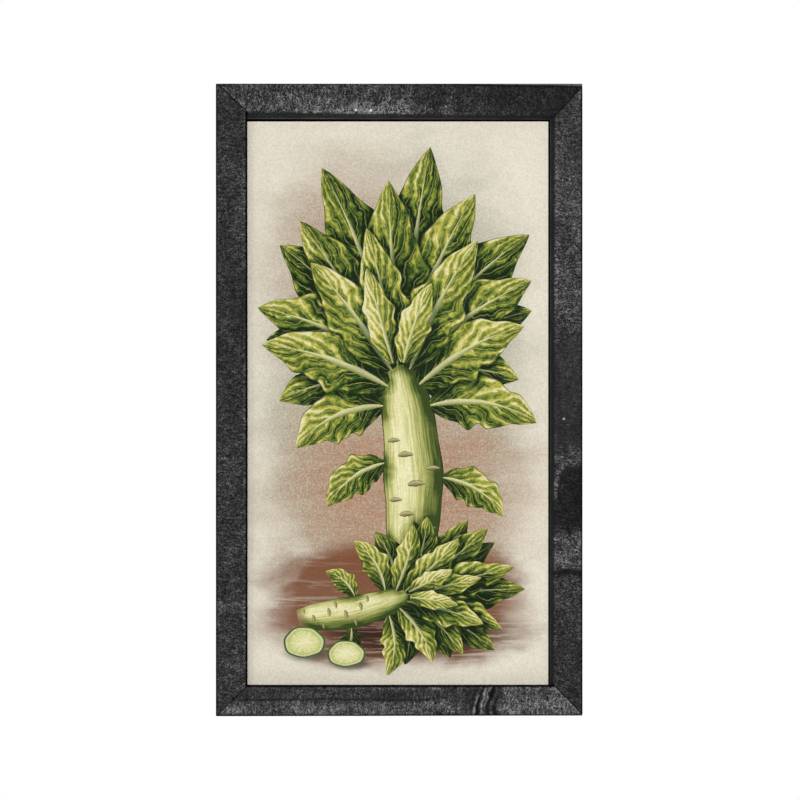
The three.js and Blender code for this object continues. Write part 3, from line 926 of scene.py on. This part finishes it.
def makeSheet(inks):
    plate = Plate()
    wide, high = (sheetHigh.x - sheetLow.x) / 2 / mm, (sheetHigh.z - sheetLow.z) / 2 / mm
    corners = [[(-wide, -high), (wide, -high)], [(-wide, high), (wide, high)]]
    plate.addGrid("ground", 0, corners, [[(0, 0), (1, 0)], [(0, 1), (1, 1)]], corners[0])
    for spot in plantsOnSheet:
        addPlant(plate, spot)
    for row in cutRounds:
        addRound(plate, *row)
    reaches = np.vstack(plate.rims[1:])
    print("plate:", len(plate.kinds), "outlines, from", reaches.min(0).round(), "to", reaches.max(0).round())
    points = [Vector(p) for p in plate.points]
    spots, _, faces, _, _, sources = delaunay_2d_cdt(points, [], plate.faces, 1, 1e-4, True)
    chosen = [max(s, key=lambda f: (plate.layers[f], f)) if s else 0 for s in sources]

    sheet = bpy.data.meshes.new("sheet")
    flat = [(p.x * mm + sheetMid.x, sheetLow.y, p.y * mm + sheetMid.z) for p in spots]
    sheet.from_pydata(flat, [], [list(f) for f in faces])
    piece = bpy.data.objects.new("sheet", sheet)
    bpy.context.scene.collection.objects.link(piece)
    wear(piece, *inks)
    leafMap = sheet.uv_layers.new(name="leafMap")
    tone = sheet.attributes.new("tone", "FLOAT", "FACE")
    layer = sheet.attributes.new("layer", "INT", "FACE")
    for polygon, source in zip(sheet.polygons, chosen):
        level = plate.layers[source]
        polygon.material_index = inkSlots[plate.kinds[level]]
        tone.data[polygon.index].value = plate.tones[level]
        layer.data[polygon.index].value = level
        outline = [plate.points[i] for i in plate.faces[source]]
        for loop in polygon.loop_indices:
            place = spots[sheet.loops[loop].vertex_index]
            leafMap.data[loop].uv = insideMap((place.x, place.y), outline, plate.maps[source])
    onlySelect(piece)
    mode("EDIT")
    bpy.ops.mesh.select_all(action="SELECT")
    bpy.ops.mesh.normals_make_consistent(inside=False)
    bpy.ops.mesh.subdivide(number_cuts=1)
    mode("OBJECT")
    if sheet.polygons[0].normal.y > 0:
        sheet.flip_normals()
    drawShadows(sheet, plate)

    # the border goes back by the thickness of the paper and is closed behind
    mode("EDIT")
    pick(piece, "EDGE", lambda e: e.is_boundary)
    pull(0, sheetHigh.y - sheetLow.y, 0)
    bpy.ops.mesh.edge_face_add()
    mode("OBJECT")
    for polygon in sheet.polygons:
        if polygon.normal.y > -0.9:
            polygon.material_index = 0
    keep(piece, "printed_sheet", "print_paper", "print_sheet")
    print("sheet:", len(sheet.polygons), "faces")


def drawShadows(sheet, plate):  # darkens what lies just under the rim of a higher outline
    places = read(sheet.vertices, "co", float, 3)[:, (0, 2)]
    at = ((places - np.array((sheetMid.x, sheetMid.z))) / mm)[read(sheet.loops, "vertex_index")]
    levels = read(sheet.attributes["layer"].data, "value")
    level = np.repeat(levels, read(sheet.polygons, "loop_total"))
    dark = np.zeros(len(at))
    reach, thrown = shadow["reach"], math.radians(lampAngle + 180)
    shift = np.array((math.cos(thrown), math.sin(thrown))) * shadow["shift"]
    for number, rim in enumerate(plate.rims):
        if plate.kinds[number] in ("ground", "scar"):
            continue
        rim = rim + shift
        low, high = rim.min(0) - 3 * reach, rim.max(0) + 3 * reach
        near = (level < number) & (level > 0) & (at > low).all(1) & (at < high).all(1)
        if not near.any():
            continue
        run = np.roll(rim, -1, axis=0) - rim
        spots = at[near][:, None, :] - rim[None]
        part = np.clip((spots * run).sum(2) / np.maximum((run ** 2).sum(1), 1e-9), 0, 1)
        gap = np.sqrt((((spots - part[..., None] * run) ** 2).sum(2)).min(1))
        dark[near] = np.maximum(dark[near], np.exp(-((gap / reach) ** 1.3)))
    addAttribute(sheet, "shade", "CORNER", dark)


leafInkLook = {
    "levels": ((0.0, (0.006, 0.016, 0.004)), (0.22, (0.028, 0.066, 0.01)), (0.46, (0.14, 0.19, 0.026)),
               (0.7, (0.38, 0.375, 0.06)), (0.9, (0.57, 0.525, 0.14)), (1.0, (0.72, 0.675, 0.38))),
    "line": (0.008, 0.02, 0.008),
    "vein": (0.4, 0.41, 0.11),
    "rib": ((0.2, 0.24, 0.06), (0.68, 0.65, 0.34)),
    "ribShade": (0.03, 0.07, 0.02),
    "veins": 6.5,
    "sweep": 2.3,
}


def pressed(board, colour):  # paper with the fine speckle of the printing
    place = board.objectPlace()
    fine, coarse = place.noise(1150, 2, 0.6), place.noise(420, 2, 0.5)
    speck = fine.step(0.3, 0.7, 0.86, 1.1) + coarse.step(0.3, 0.7, -0.05, 0.05)
    tint = board.flow("CombineColor", 0, Red=speck, Green=speck, Blue=speck)
    colour = board.mix(1.0, colour, tint, "MULTIPLY")
    tooth = place.noise(900, 3)
    return board.finish(colour, tooth.step(0.3, 0.7, 0.55, 0.7), tooth, 0.06, 0.0001, shine=0.06)


def leafInk():
    look, board = leafInkLook, Board("leafInk")
    u, v = board.leafMap()
    tone, shade, place = board.attribute("tone"), board.attribute("shade"), board.objectPlace()
    side = v * 2.0 - 1.0
    out = abs(side)
    vein = u * look["veins"] - out * look["sweep"]
    vein += place.noise(55, 2) * 1.6 + side.step(-0.01, 0.01) * 0.45
    turn = vein.sums("FRACT")
    puff = turn.step(0.08, 0.62) * turn.step(0.99, 0.66)
    strokes = board.join(vein * 5.0, out * 2.2, tone).noise(1.6, 4, 0.65, 0.5)
    pucker = place.noise(120, 3, 0.6, 0.8)
    light = puff * strokes.step(0.3, 0.7, 0.35, 1.1) + pucker.step(0.38, 0.66) * 0.45
    light = light * 0.62 + tone * 0.46
    light += side.step(-0.55, 0.7, -0.2, 0.16)  # the half that faces the drawn light
    light += u.step(0.0, 0.5, -0.46, 0.0)
    light += out.step(0.72, 0.95, 0.0, 0.22)
    light -= shade * 0.72
    colour = light.ramp(*look["levels"])
    between = abs(turn * 2.0 - 1.0)  # 1 on a vein, 0 half way to the next
    veinLine = between.step(0.85, 0.97) * out.step(0.94, 0.7)
    colour = board.mix(veinLine * (shade * -0.5 + 0.62), colour, look["vein"])
    ribWidth = u.step(0.0, 1.0, 0.17, 0.015)
    rib = board.mix((side / ribWidth).step(-1.0, 0.6), *look["rib"])
    rib = board.mix(shade * 0.75, rib, look["ribShade"])
    colour = board.mix((out / ribWidth).step(1.15, 0.7) * 0.92, colour, rib)
    colour = board.mix(out.step(0.93, 0.985) * 0.8, colour, look["line"])
    return pressed(board, colour)


stemLook = {
    "body": ((0.0, (0.036, 0.062, 0.012)), (0.3, (0.16, 0.195, 0.042)), (0.6, (0.45, 0.445, 0.15)),
             (0.85, (0.71, 0.68, 0.35)), (1.0, (0.8, 0.75, 0.48))),
    "cutEnd": (0.27, 0.16, 0.08),
    "line": (0.02, 0.03, 0.01),
}


def stemInk():
    look, board = stemLook, Board("stemInk")
    u, v = board.leafMap()
    fibre = board.join(u * 5.0, v * 26.0, 0.0).noise(1.0, 4, 0.6, 0.3)
    body = v.step(0.0, 0.42, 0.05, 0.6) + v.step(0.3, 0.66, 0.0, 0.32) - v.step(0.74, 1.0, 0.0, 0.34)
    body += fibre.step(0.3, 0.7, -0.16, 0.16)
    body -= board.attribute("shade") * 0.6
    body -= u.step(0.14, 0.0, 0.0, 0.25)
    colour = board.mix(u.step(0.1, 0.0, 0.0, 0.7), body.ramp(*look["body"]), look["cutEnd"])
    colour = board.mix(abs(v * 2.0 - 1.0).step(0.94, 0.99, 0.0, 0.85), colour, look["line"])
    return pressed(board, colour)


scarLook = {
    "across": ((0.16, 0.13, 0.05), (0.52, 0.5, 0.24)),
    "dry": (0.3, 0.2, 0.09),
    "line": (0.07, 0.06, 0.025),
    "shade": (0.04, 0.07, 0.025),
}


def scarInk():
    look, board = scarLook, Board("scarInk")
    _, v = board.leafMap()
    colour = board.mix(v.step(0.1, 0.9), *look["across"])
    colour = board.mix(board.attribute("tone") * 0.5, colour, look["dry"])
    colour = board.mix(abs(v * 2.0 - 1.0).step(0.6, 0.95, 0.0, 0.8), colour, look["line"])
    colour = board.mix(board.attribute("shade") * 0.7, colour, look["shade"])
    return pressed(board, colour)


roundLook = {
    "flesh": ((0.2, (0.3, 0.34, 0.09)), (0.55, (0.6, 0.59, 0.24)), (0.9, (0.79, 0.76, 0.48))),
    "ring": (0.36, 0.42, 0.14),
    "rim": (0.66, 0.66, 0.36),
    "skin": (0.05, 0.11, 0.03),
}


def roundInk():
    look, board = roundLook, Board("roundInk")
    r, turn = board.leafMap()
    angle = turn * (2 * math.pi)
    rays = board.join(angle.sums("COSINE") * 9.0, angle.sums("SINE") * 9.0, r).noise(1.3, 3, 0.6)
    level = rays.step(0.35, 0.65, -0.12, 0.14) + r.step(0.0, 0.8, 0.75, 0.45) + board.attribute("tone") * 0.15
    colour = board.mix(r.step(0.66, 0.74, 0.0, 0.5), level.ramp(*look["flesh"]), look["ring"])
    colour = board.mix(r.step(0.8, 0.84, 0.0, 0.6), colour, look["rim"])
    colour = board.mix(r.step(0.88, 0.93), colour, look["skin"])
    return pressed(board, colour)


groundLook = {
    "paper": (0.75, 0.7, 0.585),
    "paperDark": (0.69, 0.635, 0.515),
    "mist": (0.33, 0.325, 0.235),
    "warm": (0.37, 0.17, 0.09),
    "soil": (0.185, 0.066, 0.029),
    "soilDark": (0.02, 0.011, 0.007),
}


def groundInk():
    look, board = groundLook, Board("groundInk")
    place = board.flow("Mapping", 0, Vector=board.objectPlace(), Location=(-sheetMid.x, 0, -sheetMid.z))
    x, _, z = place.split()
    wisps = place.noise((14, 14, 26), 3, 0.55, 0.4)
    strokes = place.noise((17, 17, 210), 4, 0.6, 0.7)
    dots = place.noise(800, 2, 0.7).step(0.28, 0.62, 0.4, 1.0)

    def cloud(cx, cz, rx, rz, start, end, power=2.0):  # a soft airbrushed patch: centre and radii in mm
        dx = abs((x - cx * mm) * (1 / (rx * mm)))
        dz = abs((z - cz * mm) * (1 / (rz * mm)))
        away = (dx ** power + dz ** power) ** (1 / power)
        return ((wisps - 0.5) * 0.4 + away).step(end, start)

    aged = place.noise(7, 3)
    colour = board.mix(aged.step(0.35, 0.7, 0.0, 0.5), look["paper"], look["paperDark"])
    mist = cloud(-4, 14, 160, 278, 0.62, 1.04, 3.4) * dots
    colour = board.mix(mist * 0.8, colour, look["mist"])
    glow = cloud(-50, 130, 118, 170, 0.2, 1.05) * dots
    colour = board.mix(glow * 0.6, colour, look["warm"])
    warm = cloud(4, -90, 172, 125, 0.3, 1.05, 2.6) * dots * strokes.step(0.3, 0.6, 0.7, 1.0)
    colour = board.mix(warm * 0.9, colour, look["warm"])
    brown = cloud(-2, -211, 160, 76, 0.66, 1.0, 2.8) * strokes.step(0.3, 0.5, 0.66, 1.0)
    colour = board.mix(brown * 0.95, colour, look["soil"])
    dark = cloud(14, -240, 140, 38, 0.3, 1.0) * strokes.step(0.36, 0.54, 0.2, 1.0)
    for across, up, wide, high, _ in cutRounds:
        below = cloud(across + 4, up - 0.75 * high, 1.3 * wide, 0.62 * high, 0.4, 1.1)
        dark = dark.sums("MAXIMUM", below * 0.8)
    colour = board.mix(dark * 0.92, colour, look["soilDark"])
    return pressed(board, colour)


makeSheet((groundInk(), leafInk(), stemInk(), scarInk(), roundInk()))


# fixings at the back: the CAD shapes with their sharp edges eased, in dull zinc
fixings = {"hanger": 0.14 * mm, "point": 0.1 * mm, "vnail": 0.08 * mm, "vnailRaise": 0.36 * mm}
zincLook = {"spangle": ((0.5, 0.51, 0.5), (0.36, 0.37, 0.37)), "stain": (0.2, 0.19, 0.175)}
rubberLook = ((0.3, (0.012, 0.011, 0.01)), (0.6, (0.022, 0.02, 0.018)), (0.85, (0.06, 0.056, 0.05)))


def zincSteel():
    board = Board("zincSteel")
    place = board.objectPlace()
    patch = board.flow("TexVoronoi", "Color", Vector=place, Scale=420.0).split()[0]
    rub = place.noise((2600, 2600, 500), 3, 0.6)
    stains = place.noise(260, 3, 0.6, 0.6)
    colour = board.mix(patch.step(0.0, 1.0, 0.0, 0.6), *zincLook["spangle"])
    colour = board.mix(stains.step(0.55, 0.72, 0.0, 0.55), colour, zincLook["stain"])
    rough = rub.step(0.3, 0.7, 0.24, 0.42) + stains.step(0.5, 0.75, 0.0, 0.22)
    return board.finish(colour, rough, rub, 0.12, 0.00005, metal=1.0)


def blackRubber():
    board = Board("blackRubber")
    dust = board.objectPlace().noise(700, 3, 0.6)
    return board.finish(dust.ramp(*rubberLook), dust.step(0.3, 0.7, 0.6, 0.85), dust, 0.2, 0.0001, shine=0.4)


def easedCopy(node, width, material, raised=0.0):
    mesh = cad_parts[node].data.copy()
    piece = bpy.data.objects.new(node, mesh)
    bpy.context.scene.collection.objects.link(piece)
    onlySelect(piece)
    if mesh.has_custom_normals:
        bpy.ops.mesh.customdata_custom_splitnormals_clear()
    mode("EDIT")
    bpy.ops.mesh.select_all(action="SELECT")
    bpy.ops.mesh.remove_doubles(threshold=1e-6)
    bpy.ops.mesh.dissolve_limited(angle_limit=math.radians(2))
    bpy.ops.transform.translate(value=(0, raised, 0))
    mode("OBJECT")
    bevel = piece.modifiers.new("bevel", "BEVEL")
    bevel.width, bevel.segments = width, 2
    bevel.limit_method, bevel.angle_limit = "ANGLE", math.radians(25)
    bpy.ops.object.modifier_apply(modifier=bevel.name)
    settle(piece, "eased_" + node, "zinc_steel", node, material)


def layBack(piece, x, y, z):  # turns its top to the wall and puts its middle in place
    mode("OBJECT")
    piece.data.transform(Matrix.Translation((x, y, z)) @ Matrix.Rotation(-math.pi / 2, 4, "X"))


def bevelTop(piece, level, width, segments):
    pick(piece, "EDGE", lambda e: all(abs(v.co.z - level) < 1e-7 for v in e.verts))
    bpy.ops.mesh.bevel(offset=width, segments=segments, affect="EDGES")


nail = {
    "sides": 32,
    "headRadius": 1.9 * mm,
    "head": 0.6 * mm,
    "ease": 0.3 * mm,
    "shank": 0.7 * mm,
    "tip": 1.4 * mm,
    "sharp": 0.08,  # the end of the tip, as a share of the shank
}


def makeNail(name, material):
    low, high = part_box("hanger_nail_" + name)
    centre = (low + high) / 2
    piece = startCylinder(nail["sides"], nail["headRadius"], nail["head"])
    pick(piece, "FACE", lambda f: f.normal.z < -0.9)
    bpy.ops.mesh.inset(thickness=nail["headRadius"] - nail["shank"])
    pull(0, 0, low.y - high.y + nail["head"] + nail["tip"])
    pull(0, 0, -nail["tip"])
    bpy.ops.transform.resize(value=(nail["sharp"], nail["sharp"], 1))
    bevelTop(piece, nail["head"] / 2, nail["ease"], 3)
    layBack(piece, centre.x, high.y - nail["head"] / 2, centre.z)
    settle(piece, "nail_" + name, "zinc_steel", "hanger_nail_" + name, material)


bumper = {"sides": 64, "rim": 1.1 * mm, "insets": (1.2 * mm, 0.6 * mm), "dish": 0.25 * mm}


def makeBumper(name, material):
    low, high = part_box("bumper_" + name)
    thick = high.y - low.y
    piece = startCylinder(bumper["sides"], (high.x - low.x) / 2, thick)
    bevelTop(piece, thick / 2, bumper["rim"], 5)
    pick(piece, "FACE", lambda f: f.normal.z > 0.99)
    for inset in bumper["insets"]:
        bpy.ops.mesh.inset(thickness=inset)
    bpy.ops.transform.translate(value=(0, 0, -bumper["dish"]))
    layBack(piece, *(low + high) / 2)
    settle(piece, "pad_" + name, "bumper_rubber", "bumper_" + name, material)


zinc, rubber = zincSteel(), blackRubber()
easedCopy("hanger", fixings["hanger"], zinc)
for node in sorted(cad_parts):
    if node.startswith("point_"):
        easedCopy(node, fixings["point"], zinc)
    elif node.startswith("vnail_"):
        easedCopy(node, fixings["vnail"], zinc, fixings["vnailRaise"])
for name in ("left", "right"):
    makeNail(name, zinc)
    makeBumper(name, rubber)
print("fixings done")
